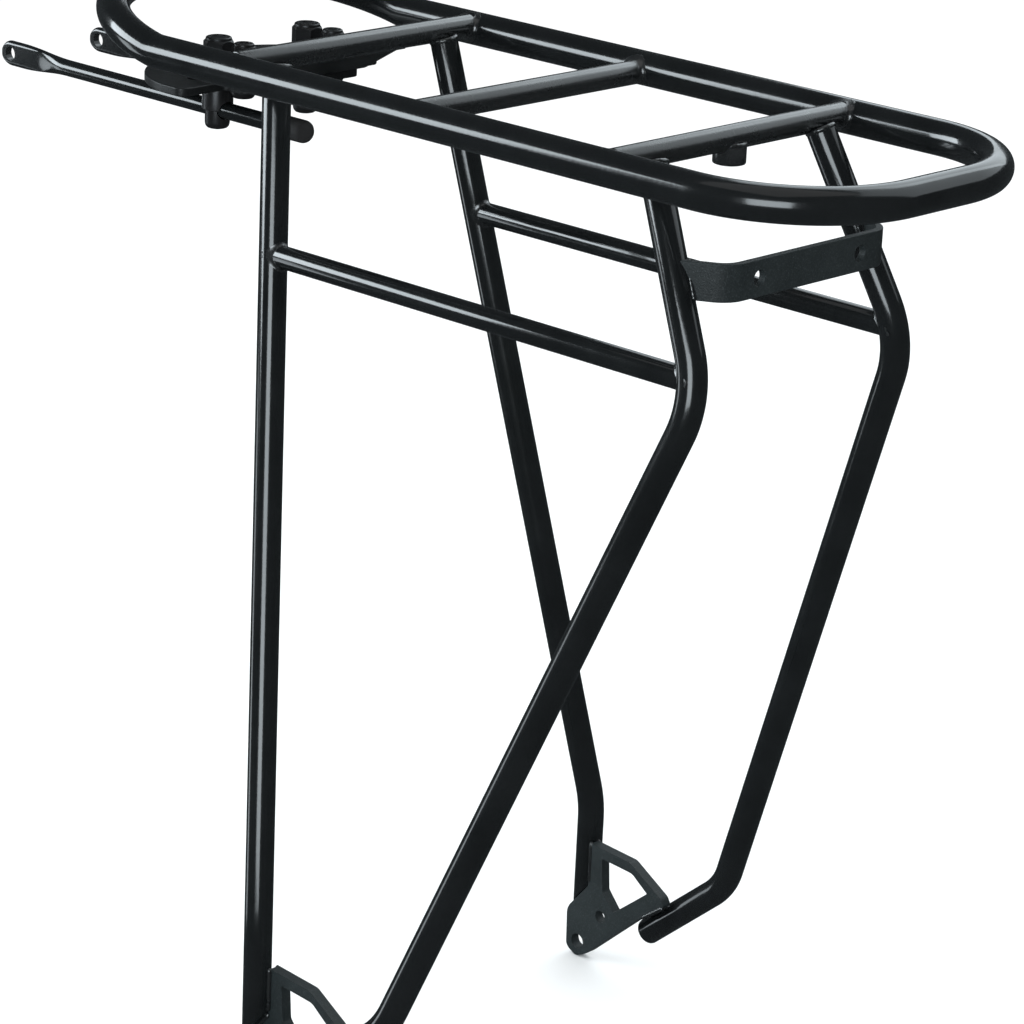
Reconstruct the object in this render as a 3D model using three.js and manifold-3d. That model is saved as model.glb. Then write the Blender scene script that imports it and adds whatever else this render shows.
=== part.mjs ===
// Rear carrier for a bicycle: a bent and welded tube frame with a light bracket,
// a mudguard boss, two dropout plates and a pair of adjustable front stays.
// Millimetres, +X towards the saddle, +Y to the rider's left, +Z up.
// The origin is midway between the two lower eyelets that bolt to the bicycle.

import * as THREE from 'three';
import { mergeVertices } from 'three/addons/utils/BufferGeometryUtils.js';
import Module from 'manifold-3d';

const wasm = await Module();
wasm.setup();

// ---------------------------------------------------------------- dimensions

const GAP = 0.3; // clearance left between neighbouring pieces
const SIDES = [
  { name: 'left', y: 1 },
  { name: 'right', y: -1 },
];

// Platform: one tube bent into a long hoop, its rounded front end turned up a little.
const HOOP = {
  radius: 6,
  halfWidth: 60.5,
  z: 348.4,
  rearX: -201.7,
  cornerRadius: 46,
  kneeX: 90,
  kneeRadius: 20,
  rise: THREE.MathUtils.degToRad(11.5),
  frontHeight: 11.8,
  frontCornerRadius: 57,
};

const CROSS = {
  radius: 4.2,
  places: {
    front: { x: 53.5, z: 350 },
    middle: { x: -27.7, z: 347.6 },
    rear: { x: -118.5, z: 349.6 },
  },
};

// Legs: corner points of the left side's centrelines; the right side mirrors them.
const LEG_RADIUS = 5;
const FRONT_LEG = {
  top: [50.3, 40.4, 350],
  knee: [0.9, 86.2, 56.7],
  kneeRadius: 60,
  footZ: 8,
};
const REAR_LEG = {
  top: [-121.1, 40.9, 350],
  knee: [-154.6, 51.1, 280.6],
  kneeRadius: 34,
  heel: [-65, 88.4, 43.1],
  heelRadius: 30,
  toe: [-28.9, 88.4, 11.8],
};
const LOWER_RAIL = { radius: 4, z: 285.2 };

// Dropout plates: 4 mm plate between the feet of the legs, in the X-Z plane.
const DROPOUT = {
  inner: 81,
  thickness: 4.2,
  eyelet: { x: 0, z: 0, radius: 3, nose: 5.9 },
  upperHole: { x: -11, z: 14, radius: 2.4 },
};

// Bracket for a rear lamp: a flat strap across the rear legs.
const LAMP = {
  z: 314.9,
  height: 12.4,
  thickness: 2.6,
  faceX: -154.7,
  flatHalf: 33,
  holeY: 25,
  holeRadius: 2.75,
};

const BOSS = { radius: 5.5, length: 4.3, bore: 2.5, depth: 4.2 };

// Slotted plate that carries the two front stays, hung from the front cross tube.
const PLATE = {
  z: 330.4,
  thickness: 3,
  centreX: 95.8,
  halfWidth: 48.7,
  reach: 41,
  tongueX: 79.3,
  tongueHalf: 28,
  shoulderX: 89.8,
};
const HANGER = { thickness: 3, halfWidth: 27, frontX: 93.3, bendX: 77, topX: 56, topZ: 347.5 };
const STAY = { y: 21.5, z: 321.1, boltX: 100.8, travelIn: 3.5, travelOut: 10 };
const SLOT_HALF = 3.3;

const ROD = {
  radius: 3,
  backX: 56.5,
  roundX: 190,
  tipX: 219.4,
  tab: 4.75,
  tabThickness: 2.8,
  hole: 2.65,
};
const END_CAP = { radius: 4.1, backX: 53.4, length: 13 };
const EYE = {
  radius: 4.5,
  bottomZ: 314.2,
  topZ: 326.6,
  bore: ROD.radius + GAP,
  shank: 3,
};
const COLLAR = { radius: 5.6, bore: 4.8 };
const WASHER = { radius: 6, thickness: 1.6, bore: 3.3 };

const PLATE_BOLT = { x: 87.6, shank: 2.45, head: 4.4, headHeight: 2.7, bore: 2.75 };

const TUBE_SIDES = 20;
const HOLE_SIDES = 20;
const BEND_STEP = THREE.MathUtils.degToRad(11.25);

// ----------------------------------------------------------------- materials

const COLOURS = {
  coat: { color: 0x1b1e20, roughness: 0.28, metalness: 0.35 },
  plate: { color: 0x25292b, roughness: 0.45, metalness: 0.35 },
  steel: { color: 0x1c1e20, roughness: 0.4, metalness: 0.6 },
  rubber: { color: 0x121314, roughness: 0.8, metalness: 0 },
};
const finish = Object.fromEntries(
  Object.entries(COLOURS).map(([name, look]) => [name, new THREE.MeshStandardMaterial(look)]),
);

// ------------------------------------------------------------------- helpers

const vec = (p) => new THREE.Vector3(...p);
const mirrored = ([x, y, z], side) => [x, y * side.y, z];

function solid(geometry) {
  const bare = geometry.clone();
  bare.deleteAttribute('normal');
  bare.deleteAttribute('uv');
  const merged = mergeVertices(bare, 1e-4);
  const mesh = new wasm.Mesh({
    numProp: 3,
    vertProperties: Float32Array.from(merged.attributes.position.array),
    triVerts: Uint32Array.from(merged.index.array),
  });
  return new wasm.Manifold(mesh);
}

function geometryOf(manifold) {
  const mesh = manifold.getMesh();
  const geometry = new THREE.BufferGeometry();
  geometry.setAttribute('position', new THREE.BufferAttribute(mesh.vertProperties, 3));
  geometry.setIndex(new THREE.BufferAttribute(mesh.triVerts, 1));
  geometry.computeVertexNormals();
  return geometry;
}

const cut = (geometry, ...tools) =>
  geometryOf(tools.reduce((rest, tool) => rest.subtract(solid(tool)), solid(geometry)));

const join = (geometry, ...others) =>
  geometryOf(others.reduce((sum, other) => sum.add(solid(other)), solid(geometry)));

// A centreline with straight runs joined by true arcs. Each corner is
// { at: [x, y, z], radius }, and an open path's two ends have no radius.
class BentPath extends THREE.Curve {
  constructor(corners, closed = false) {
    super();
    this.stations = [];
    this.closed = closed;
    const count = corners.length;
    corners.forEach((corner, i) => {
      const at = vec(corner.at);
      const before = closed || i > 0 ? at.clone().sub(vec(corners[(i + count - 1) % count].at)) : null;
      const after = closed || i < count - 1 ? vec(corners[(i + 1) % count].at).sub(at) : null;
      if (before && after) {
        this.addArc(at, before.normalize(), after.normalize(), corner.radius);
      } else {
        this.stations.push({ point: at, tangent: (after ?? before).normalize() });
      }
    });
  }

  addArc(at, before, after, radius) {
    const angle = before.angleTo(after);
    const axis = before.clone().cross(after).normalize();
    const inward = axis.clone().cross(before);
    const start = at.clone().addScaledVector(before, -radius * Math.tan(angle / 2));
    const centre = start.clone().addScaledVector(inward, radius);
    const steps = Math.ceil(angle / BEND_STEP);
    for (let k = 0; k <= steps; k += 1) {
      const turn = (angle * k) / steps;
      const spoke = inward.clone().applyAxisAngle(axis, turn).multiplyScalar(-radius);
      this.stations.push({
        point: centre.clone().add(spoke),
        tangent: before.clone().applyAxisAngle(axis, turn),
      });
    }
  }

  get spans() {
    return this.closed ? this.stations.length : this.stations.length - 1;
  }

  station(u) {
    return this.stations[Math.round(u * this.spans) % this.stations.length];
  }

  getPointAt(u, target = new THREE.Vector3()) {
    return target.copy(this.station(u).point);
  }

  getTangentAt(u, target = new THREE.Vector3()) {
    return target.copy(this.station(u).tangent);
  }
}

function disc(radius, sides) {
  const shape = new THREE.Shape();
  for (let k = 0; k < sides; k += 1) {
    const turn = (2 * Math.PI * k) / sides;
    const method = k ? 'lineTo' : 'moveTo';
    shape[method](radius * Math.cos(turn), radius * Math.sin(turn));
  }
  return shape;
}

function tube(corners, radius) {
  const path = new BentPath(corners);
  const options = { extrudePath: path, steps: path.spans, bevelEnabled: false };
  return new THREE.ExtrudeGeometry(disc(radius, TUBE_SIDES), options);
}

function ring(corners, radius) {
  const path = new BentPath(corners, true);
  return new THREE.TubeGeometry(path, path.spans, radius, TUBE_SIDES, true);
}

// A cylinder from one point to another.
function rod(from, to, radius, sides = HOLE_SIDES) {
  const start = vec(from);
  const axis = vec(to).sub(start);
  const geometry = new THREE.CylinderGeometry(radius, radius, axis.length(), sides);
  geometry.translate(0, axis.length() / 2, 0);
  const turn = new THREE.Quaternion().setFromUnitVectors(new THREE.Vector3(0, 1, 0), axis.normalize());
  return geometry.applyQuaternion(turn).translate(start.x, start.y, start.z);
}

// A turned piece on a vertical axis: the profile is a list of [radius, z].
function turned(profile, x, y, sides = HOLE_SIDES) {
  const geometry = new THREE.LatheGeometry(profile.map(([r, z]) => new THREE.Vector2(r, z)), sides);
  return geometry.rotateX(Math.PI / 2).translate(x, y, 0);
}

// A strap of even thickness, bent along corners in a plane, as a flat outline.
function strapOutline(corners, thickness) {
  const path = new BentPath(corners.map(({ at, radius }) => ({ at: [...at, 0], radius })));
  const edge = (side) =>
    path.stations.map(({ point, tangent }) => {
      const offset = (side * thickness) / 2;
      return new THREE.Vector2(point.x - tangent.y * offset, point.y + tangent.x * offset);
    });
  return new THREE.Shape([...edge(1), ...edge(-1).reverse()]);
}

const extruded = (shape, depth) =>
  new THREE.ExtrudeGeometry(shape, { depth, bevelEnabled: false, curveSegments: 9 });

// Extrudes an outline drawn in X-Z along +Y.
const extrudedAlongY = (shape, fromY, depth) =>
  extruded(shape, depth).rotateX(Math.PI / 2).translate(0, fromY + depth, 0);

const carrier = new THREE.Group();

function piece(name, geometry, material) {
  const mesh = new THREE.Mesh(geometry, finish[material]);
  mesh.name = name;
  carrier.add(mesh);
  return mesh;
}

// ------------------------------------------------------------- welded frame

function hoopCorners() {
  const { halfWidth: y, z, rearX, kneeX, frontHeight, rise } = HOOP;
  const frontX = kneeX + frontHeight / Math.tan(rise);
  const frontZ = z + frontHeight;
  return [
    { at: [rearX, y, z], radius: HOOP.cornerRadius },
    { at: [kneeX, y, z], radius: HOOP.kneeRadius },
    { at: [frontX, y, frontZ], radius: HOOP.frontCornerRadius },
    { at: [frontX, -y, frontZ], radius: HOOP.frontCornerRadius },
    { at: [kneeX, -y, z], radius: HOOP.kneeRadius },
    { at: [rearX, -y, z], radius: HOOP.cornerRadius },
  ];
}

const hoop = (radius) => ring(hoopCorners(), radius);

function crossTube(place, radius) {
  const { x, z } = CROSS.places[place];
  return rod([x, -HOOP.halfWidth, z], [x, HOOP.halfWidth, z], radius, TUBE_SIDES);
}

function frontLeg(side, radius) {
  const { top, knee, kneeRadius, footZ } = FRONT_LEG;
  const corners = [
    { at: mirrored(top, side) },
    { at: mirrored(knee, side), radius: kneeRadius },
    { at: mirrored([knee[0], knee[1], footZ], side) },
  ];
  return tube(corners, radius);
}

function rearLeg(side, radius) {
  const { top, knee, kneeRadius, heel, heelRadius, toe } = REAR_LEG;
  const corners = [
    { at: mirrored(top, side) },
    { at: mirrored(knee, side), radius: kneeRadius },
    { at: mirrored(heel, side), radius: heelRadius },
    { at: mirrored(toe, side) },
  ];
  return tube(corners, radius);
}

// Where a straight run between two points crosses a given height.
function atHeight(a, b, z) {
  const t = (z - a[2]) / (b[2] - a[2]);
  return a.map((value, i) => value + t * (b[i] - value));
}

function dropoutShape() {
  const { eyelet, upperHole } = DROPOUT;
  const shape = new THREE.Shape();
  shape.moveTo(-4.2, 42.3);
  shape.lineTo(-24.5, 41);
  shape.quadraticCurveTo(-27.5, 40.6, -29.5, 39);
  shape.lineTo(-40.5, 31.5);
  shape.quadraticCurveTo(-42.5, 29.5, -41, 27.5);
  shape.lineTo(-31.5, 20.6);
  shape.lineTo(-3.9, -4.4);
  shape.absarc(eyelet.x, eyelet.z, eyelet.nose, Math.PI * 1.27, Math.PI * 2, false);
  shape.lineTo(6, 11.5);
  shape.lineTo(4.8, 13.9);
  shape.lineTo(-4.2, 24.6);
  const hole = (x, z, radius) => new THREE.Path().absarc(x, z, radius, 0, Math.PI * 2, true);
  const window = new THREE.Path();
  window.moveTo(-10.4, 37.9);
  window.lineTo(-11.4, 24.6);
  window.lineTo(-17.4, 17.8);
  window.lineTo(-33.7, 31.3);
  window.lineTo(-25.8, 36.9);
  shape.holes.push(
    hole(eyelet.x, eyelet.z, eyelet.radius),
    hole(upperHole.x, upperHole.z, upperHole.radius),
    window,
  );
  return shape;
}

function dropoutPlate(side) {
  const { inner, thickness } = DROPOUT;
  const fromY = side.y > 0 ? inner : -inner - thickness;
  return extrudedAlongY(dropoutShape(), fromY, thickness);
}

// Half space under the sloping shoulder of the dropout plate, which ends the front leg.
function footCutter(side) {
  const shape = new THREE.Shape();
  shape.moveTo(14, 3.5);
  shape.lineTo(-12, 34.4);
  shape.lineTo(-12, 0);
  shape.lineTo(14, 0);
  return extrudedAlongY(shape, side.y > 0 ? 70 : -100, 30);
}

piece('platform_hoop', hoop(HOOP.radius), 'coat');
for (const place of Object.keys(CROSS.places)) {
  piece(`cross_tube_${place}`, cut(crossTube(place, CROSS.radius), hoop(HOOP.radius + GAP)), 'coat');
}

for (const side of SIDES) {
  const frontCross = crossTube('front', CROSS.radius + GAP);
  const rearCross = crossTube('rear', CROSS.radius + GAP);
  piece(
    `front_leg_${side.name}`,
    cut(frontLeg(side, LEG_RADIUS), frontCross, footCutter(side)),
    'coat',
  );
  piece(`rear_leg_${side.name}`, cut(rearLeg(side, LEG_RADIUS), rearCross), 'coat');

  const front = mirrored(atHeight(FRONT_LEG.top, FRONT_LEG.knee, LOWER_RAIL.z), side);
  const rear = mirrored(atHeight(REAR_LEG.top, REAR_LEG.knee, LOWER_RAIL.z), side);
  piece(
    `lower_rail_${side.name}`,
    cut(
      rod(rear, front, LOWER_RAIL.radius, TUBE_SIDES),
      frontLeg(side, LEG_RADIUS + GAP),
      rearLeg(side, LEG_RADIUS + GAP),
    ),
    'coat',
  );
  piece(
    `dropout_plate_${side.name}`,
    cut(dropoutPlate(side), rearLeg(side, LEG_RADIUS + GAP), frontLeg(side, LEG_RADIUS + GAP)),
    'plate',
  );
}

function lampBracket() {
  const { z, height, thickness, faceX, flatHalf, holeY, holeRadius } = LAMP;
  const leg = atHeight(REAR_LEG.top, REAR_LEG.knee, z);
  const x = faceX + thickness / 2;
  const corners = [
    { at: [leg[0] - 1, leg[1]] },
    { at: [x, flatHalf + 5], radius: 9 },
    { at: [x, -flatHalf - 5], radius: 9 },
    { at: [leg[0] - 1, -leg[1]] },
  ];
  const strap = extruded(strapOutline(corners, thickness), height).translate(0, 0, z - height / 2);
  const holes = [holeY, -holeY].map((y) => rod([faceX - 5, y, z], [faceX + 8, y, z], holeRadius));
  const legs = SIDES.map((side) => rearLeg(side, LEG_RADIUS + GAP));
  return cut(strap, ...holes, ...legs);
}
piece('light_bracket', lampBracket(), 'plate');

function mudguardBoss() {
  const { radius, length, bore, depth } = BOSS;
  const { x, z } = CROSS.places.rear;
  const bottom = z - CROSS.radius - length;
  const profile = [
    [0, bottom + depth],
    [bore, bottom + depth],
    [bore, bottom],
    [radius - 0.5, bottom],
    [radius, bottom + 0.5],
    [radius, z - 1],
    [0, z - 1],
  ];
  return cut(turned(profile, x, 0), crossTube('rear', CROSS.radius + GAP));
}
piece('mudguard_boss', mudguardBoss(), 'coat');

// -------------------------------------------------------- stay plate, hanger

function plateHanger() {
  const { thickness, halfWidth, frontX, bendX, topX, topZ } = HANGER;
  const z = PLATE.z + PLATE.thickness + GAP + thickness / 2;
  const corners = [{ at: [topX, topZ] }, { at: [bendX, z], radius: 8 }, { at: [frontX, z] }];
  const strap = extrudedAlongY(strapOutline(corners, thickness), -halfWidth, 2 * halfWidth);
  const holes = SIDES.map((side) => {
    const y = STAY.y * side.y;
    return rod([PLATE_BOLT.x, y, z - 9], [PLATE_BOLT.x, y, z + 9], PLATE_BOLT.bore);
  });
  return cut(strap, crossTube('front', CROSS.radius + GAP), ...holes);
}

function slotPath(side) {
  const { boltX: x, y, travelIn, travelOut } = STAY;
  const ends = [y - travelIn, y + travelOut].map((end) => end * side.y).sort((a, b) => a - b);
  const slot = new THREE.Path();
  slot.absarc(x, ends[0], SLOT_HALF + GAP / 2, Math.PI, 2 * Math.PI, false);
  slot.absarc(x, ends[1], SLOT_HALF + GAP / 2, 0, Math.PI, false);
  return slot;
}

// Half ellipse in front, a straight shoulder behind it, and a tongue under the hanger.
function stayPlate() {
  const { z, thickness, centreX, halfWidth, reach, tongueX, tongueHalf, shoulderX } = PLATE;
  const corner = 5;
  const shape = new THREE.Shape();
  shape.moveTo(tongueX, 0);
  shape.lineTo(tongueX, corner - tongueHalf);
  shape.quadraticCurveTo(tongueX, -tongueHalf, tongueX + corner, -tongueHalf);
  shape.quadraticCurveTo(shoulderX, -tongueHalf, shoulderX, -tongueHalf - corner);
  shape.lineTo(shoulderX, corner - halfWidth);
  shape.quadraticCurveTo(shoulderX, -halfWidth, centreX, -halfWidth);
  shape.absellipse(centreX, 0, reach, halfWidth, -Math.PI / 2, Math.PI / 2, false);
  shape.quadraticCurveTo(shoulderX, halfWidth, shoulderX, halfWidth - corner);
  shape.lineTo(shoulderX, tongueHalf + corner);
  shape.quadraticCurveTo(shoulderX, tongueHalf, tongueX + corner, tongueHalf);
  shape.quadraticCurveTo(tongueX, tongueHalf, tongueX, tongueHalf - corner);
  for (const side of SIDES) {
    const hole = new THREE.Path();
    hole.absarc(PLATE_BOLT.x, STAY.y * side.y, PLATE_BOLT.bore, 0, 2 * Math.PI, true);
    shape.holes.push(slotPath(side), hole);
  }
  return extruded(shape, thickness).translate(0, 0, z);
}

piece('plate_hanger', plateHanger(), 'plate');
piece('stay_plate', stayPlate(), 'plate');

// ----------------------------------------------------------------- fasteners

// A hexagon cap nut: blind from below, with a domed top.
function capNut(x, y, z, acrossFlats, height, hexHeight, bore) {
  const corner = acrossFlats / Math.sqrt(3);
  const hex = rod([x, y, z], [x, y, z + hexHeight], corner, 6);
  const domeRadius = acrossFlats / 2 - 0.4;
  const dome = [[0, z + 1]];
  dome.push([domeRadius, z + 1], [domeRadius, z + hexHeight]);
  const domeRise = height - hexHeight;
  const steps = 5;
  for (let k = 1; k < steps; k += 1) {
    const turn = (k * Math.PI) / (2 * steps);
    dome.push([domeRadius * Math.cos(turn), z + hexHeight + domeRise * Math.sin(turn)]);
  }
  dome.push([0, z + height]);
  const blind = rod([x, y, z - 1], [x, y, z + height - 2], bore);
  return cut(join(hex, turned(dome, x, y)), blind);
}

const plateTop = PLATE.z + PLATE.thickness;
const hangerTop = plateTop + GAP + HANGER.thickness;

for (const side of SIDES) {
  const y = STAY.y * side.y;
  const { x, shank, head, headHeight, bore } = PLATE_BOLT;
  const underHead = PLATE.z - GAP;
  const boltProfile = [
    [0, underHead - headHeight],
    [head - 1.6, underHead - headHeight],
    [head, underHead - 1],
    [head, underHead],
    [shank, underHead],
    [shank, hangerTop + 7],
    [0, hangerTop + 7],
  ];
  piece(`plate_bolt_${side.name}`, turned(boltProfile, x, y), 'steel');
  piece(`plate_nut_${side.name}`, capNut(x, y, hangerTop + GAP, 8, 10, 6, bore), 'steel');
}

// -------------------------------------------------------------- front stays

function eyeBolt(x, y) {
  const { radius, bottomZ, topZ, bore, shank } = EYE;
  const nutTop = plateTop + GAP + WASHER.thickness + GAP + 9;
  const profile = [
    [0, bottomZ],
    [radius - 1.8, bottomZ],
    [radius - 0.5, bottomZ + 0.6],
    [radius, bottomZ + 1.9],
    [radius, topZ - 0.8],
    [radius - 0.8, topZ],
    [shank, topZ],
    [shank, nutTop],
    [0, nutTop],
  ];
  return cut(turned(profile, x, y), rod([x - 9, y, STAY.z], [x + 9, y, STAY.z], bore));
}

function stayCollar(x, y) {
  const { radius, bore } = COLLAR;
  const top = PLATE.z - GAP;
  const profile = [
    [bore, STAY.z],
    [radius, STAY.z],
    [radius, top - 0.6],
    [radius - 0.6, top],
    [SLOT_HALF, top],
    [SLOT_HALF, top - 2.2],
    [bore, top - 2.2],
    [bore, STAY.z],
  ];
  return cut(turned(profile, x, y), rod([x - 9, y, STAY.z], [x + 9, y, STAY.z], EYE.bore));
}

function washer(x, y) {
  const { radius, thickness, bore } = WASHER;
  const bottom = plateTop + GAP;
  const profile = [
    [bore, bottom],
    [radius, bottom],
    [radius, bottom + thickness],
    [bore, bottom + thickness],
    [bore, bottom],
  ];
  return turned(profile, x, y);
}

function stayRod(y) {
  const { radius, backX, roundX, tipX, tab, tabThickness, hole } = ROD;
  const z = STAY.z;
  const holeX = tipX - tab;
  const spade = new THREE.Shape();
  spade.moveTo(roundX - 6, z - radius + 0.4);
  spade.lineTo(roundX, z - radius);
  spade.bezierCurveTo(roundX + 6, z - radius, roundX + 8, z - tab, roundX + 14, z - tab);
  spade.lineTo(holeX, z - tab);
  spade.absarc(holeX, z, tab, -Math.PI / 2, Math.PI / 2, false);
  spade.lineTo(roundX + 14, z + tab);
  spade.bezierCurveTo(roundX + 8, z + tab, roundX + 6, z + radius, roundX, z + radius);
  spade.lineTo(roundX - 6, z + radius - 0.4);
  const flat = extrudedAlongY(spade, y - tabThickness / 2, tabThickness);
  const bar = rod([backX, y, z], [roundX, y, z], radius, TUBE_SIDES);
  const taper = new THREE.ConeGeometry(radius, 12, TUBE_SIDES);
  taper.rotateZ(-Math.PI / 2).translate(roundX + 5.9, y, z);
  const eyelet = rod([holeX, y - 4, z], [holeX, y + 4, z], hole);
  return cut(join(bar, taper, flat), eyelet);
}

function endCap(y) {
  const { radius, backX, length } = END_CAP;
  const bore = ROD.radius + GAP;
  const inner = ROD.backX - backX - GAP;
  const profile = [
    [0, 0],
    [radius * 0.55, 0.3],
    [radius * 0.86, 1.3],
    [radius, 3],
    [radius, length - 0.7],
    [radius - 0.4, length],
    [bore, length],
    [bore, inner],
    [0, inner],
  ];
  const points = profile.map(([r, x]) => new THREE.Vector2(r, x));
  return new THREE.LatheGeometry(points, HOLE_SIDES).rotateZ(-Math.PI / 2).translate(backX, y, STAY.z);
}

for (const side of SIDES) {
  const y = STAY.y * side.y;
  const x = STAY.boltX;
  const nutZ = plateTop + GAP + WASHER.thickness + GAP;
  piece(`stay_eye_bolt_${side.name}`, eyeBolt(x, y), 'steel');
  piece(`stay_collar_${side.name}`, stayCollar(x, y), 'steel');
  piece(`stay_washer_${side.name}`, washer(x, y), 'steel');
  piece(`stay_cap_nut_${side.name}`, capNut(x, y, nutZ, 10, 11.5, 8.5, EYE.shank + GAP), 'steel');
  piece(`stay_rod_${side.name}`, stayRod(y), 'coat');
  piece(`stay_end_cap_${side.name}`, endCap(y), 'rubber');
}

export default carrier;
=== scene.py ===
import math

import bmesh
import bpy
from bpy.props import FloatProperty, FloatVectorProperty, IntProperty, PointerProperty
from bpy.types import Operator, Panel, PropertyGroup
from mathutils import Matrix, Vector


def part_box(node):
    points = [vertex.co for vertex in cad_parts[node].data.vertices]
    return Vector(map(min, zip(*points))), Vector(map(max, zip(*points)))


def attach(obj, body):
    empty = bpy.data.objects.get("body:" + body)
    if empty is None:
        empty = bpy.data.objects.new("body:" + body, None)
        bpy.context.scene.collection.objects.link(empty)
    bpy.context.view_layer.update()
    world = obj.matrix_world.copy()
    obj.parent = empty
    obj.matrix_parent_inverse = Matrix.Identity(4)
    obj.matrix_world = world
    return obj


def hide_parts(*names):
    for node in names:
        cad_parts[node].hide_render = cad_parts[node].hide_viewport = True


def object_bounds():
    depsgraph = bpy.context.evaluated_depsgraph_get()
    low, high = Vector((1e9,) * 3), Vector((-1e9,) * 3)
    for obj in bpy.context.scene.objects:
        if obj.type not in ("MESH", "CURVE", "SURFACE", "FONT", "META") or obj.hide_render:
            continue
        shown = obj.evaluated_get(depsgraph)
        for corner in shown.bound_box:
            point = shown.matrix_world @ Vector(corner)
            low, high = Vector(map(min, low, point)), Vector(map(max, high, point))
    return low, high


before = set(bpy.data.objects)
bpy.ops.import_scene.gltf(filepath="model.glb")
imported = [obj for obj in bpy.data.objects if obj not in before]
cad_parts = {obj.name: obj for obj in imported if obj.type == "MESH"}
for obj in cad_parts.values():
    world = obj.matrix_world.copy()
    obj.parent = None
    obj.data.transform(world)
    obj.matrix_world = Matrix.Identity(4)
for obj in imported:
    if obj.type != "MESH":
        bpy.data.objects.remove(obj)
CAD_BOX = [list(corner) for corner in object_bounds()]

bl_info = {
    "name": "Bicycle Rear Rack",
    "version": (1, 0, 0),
    "blender": (4, 5, 0),
    "location": "View3D > Sidebar > Rear Rack",
    "description": "Builds the finished look of a tubular bicycle rear rack on its packed frame",
    "category": "Add Mesh",
}

MM = 0.001
SIDES = {"left": 1, "right": -1}
WHITE = (1, 1, 1, 1)
X_AXIS, Y_AXIS, Z_AXIS = Vector((1, 0, 0)), Vector((0, 1, 0)), Vector((0, 0, 1))


def mm(x, y, z):
    """A point given in millimetres, in metres."""
    return Vector((x, y, z)) * MM


def middle(node):
    low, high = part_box(node)
    return (low + high) / 2


def stand_of(node, axis=None):
    """The foot of a node on its own or another node's upright axis, and its height in millimetres."""
    low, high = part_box(node)
    centre = middle(axis or node)
    return Vector((centre.x, centre.y, low.z)), (high.z - low.z) / MM


# Places and holes that several pieces share, in millimetres; holes are given by their radius.
HOOP_Y, HOOP_Z = 60.5, 348.4
CROSS_END = 56.6
RAIL_Z = 285.2
BOLT_X, STAY_Y = 87.6, 21.5
BOLT_HOLE, STAY_BORE = 2.75, 3.3
SLOT_X, SLOT_HALF = 100.8, 3.45
BOSS_RADIUS, BOSS_TOP = 5.5, 6.6

# Centrelines: corner points in millimetres with the bend radius at each.
HOOP_LINE = [
    ((-201.7, 0, HOOP_Z), 0),
    ((-201.7, HOOP_Y, HOOP_Z), 46),
    ((90, HOOP_Y, HOOP_Z), 20),
    ((148, HOOP_Y, 360.2), 57),
    ((148, 0, 360.2), 0),
]
FRONT_LEG_LINE = [
    ((50.3, 40.4, 347.6), 0),
    ((0.9, 86.2, 56.7), 60),
    ((0.9, 86.2, 8), 0),
]
REAR_LEG_LINE = [
    ((-122.2, 41.2, 347.2), 0),
    ((-154.6, 51.1, 280.6), 34),
    ((-65, 88.4, 43.1), 30),
    ((-28.9, 88.4, 11.8), 0),
]

# Dropout plate: (x, z) corners in millimetres with the rounding at each, and its holes.
DROPOUT_OUTLINE = [
    ((-4.2, 42.3), 0.8),
    ((-24.5, 41), 1.6),
    ((-40.5, 31.5), 1.2),
    ((-42.3, 28.5), 1.6),
    ((-31.5, 20.6), 2),
    ((-4.6, -3.9), 3),
    ((0.5, -6.3), 2.4),
    ((5.6, -3.4), 3),
    ((6, 11.5), 2),
    ((4.8, 13.9), 1),
    ((-4.2, 24.6), 1),
]
DROPOUT_WINDOW = [
    ((-10.4, 37.9), 0.8),
    ((-11.4, 24.6), 1),
    ((-17.4, 17.8), 0.8),
    ((-33.7, 31.3), 0.8),
    ((-25.8, 36.9), 2),
]
EYELET_HOLE = 3
SECOND_HOLE, SECOND_AT = 2.4, mm(-11, 0, 14)

# The sloping shoulder where a front leg is cut to stand on its dropout: a point and the normal.
SHOULDER_AT, SHOULDER_NORMAL = mm(-4.2, 0, 25.2), Vector((30.9, 0, 26)).normalized()

# Straight welds on a dropout in millimetres: (x, z) at both ends, and the y of the plate's faces.
PLATE_SEAMS = [((-4.4, 26), (-4.4, 42.6)), ((-41.8, 28.2), (-31.4, 20.4))]
PLATE_SEAM_YS = (81.5, 85.5)
SHOULDER_SEAM, SHOULDER_SEAM_Y = ((-4.6, 24.9), (5.2, 13.4)), 85.4
WELD_SKIN = 0.05 * MM

# Stay rod in millimetres: its radius, and the half height and half thickness of its pressed tip.
ROD_RADIUS = 3
TIP_HALF, TIP_FLAT = 4.75, 1.4
PRESS_START, PRESS_LENGTH = 182, 26
SQUARE_START, SQUARE_LENGTH = 186, 12

# Camera: place in metres, then azimuth, elevation and roll in degrees.
CAMERA_AT = (-0.8792, 0.9160, 0.6208)
CAMERA_TURN = (222.773, 18.729, 2.628)

# Soft lights: name, place, width and height in metres, watts and colour.
COOL = (0.86, 0.95, 1.0)
LIGHTS_AIM = Vector((-0.03, 0, 0.2))
LIGHTS = [
    ("left_key", (2.09, 1.38, 0.9), 1.7, 1.0, 44, COOL),
    ("left_low", (2.26, 1.12, -0.34), 0.6, 0.85, 4, COOL),
    ("near_soft", (-1.24, 2.29, 0.8), 1.4, 1.5, 40, COOL),
    ("back_wall", (0.81, -2.31, 1.92), 1.9, 2.2, 22, COOL),
    ("back_soft", (-0.87, -2.07, 2.2), 3.0, 2.6, 22, COOL),
    ("overhead", (0, 0.2, 2.6), 2.2, 2.2, 5, WHITE[:3]),
]


# ------------------------------------------------------------------ settings


def length_setting(name, description, default, precision=4):
    return FloatProperty(name=name, description=description, default=default, unit="LENGTH",
                         precision=precision)


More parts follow.
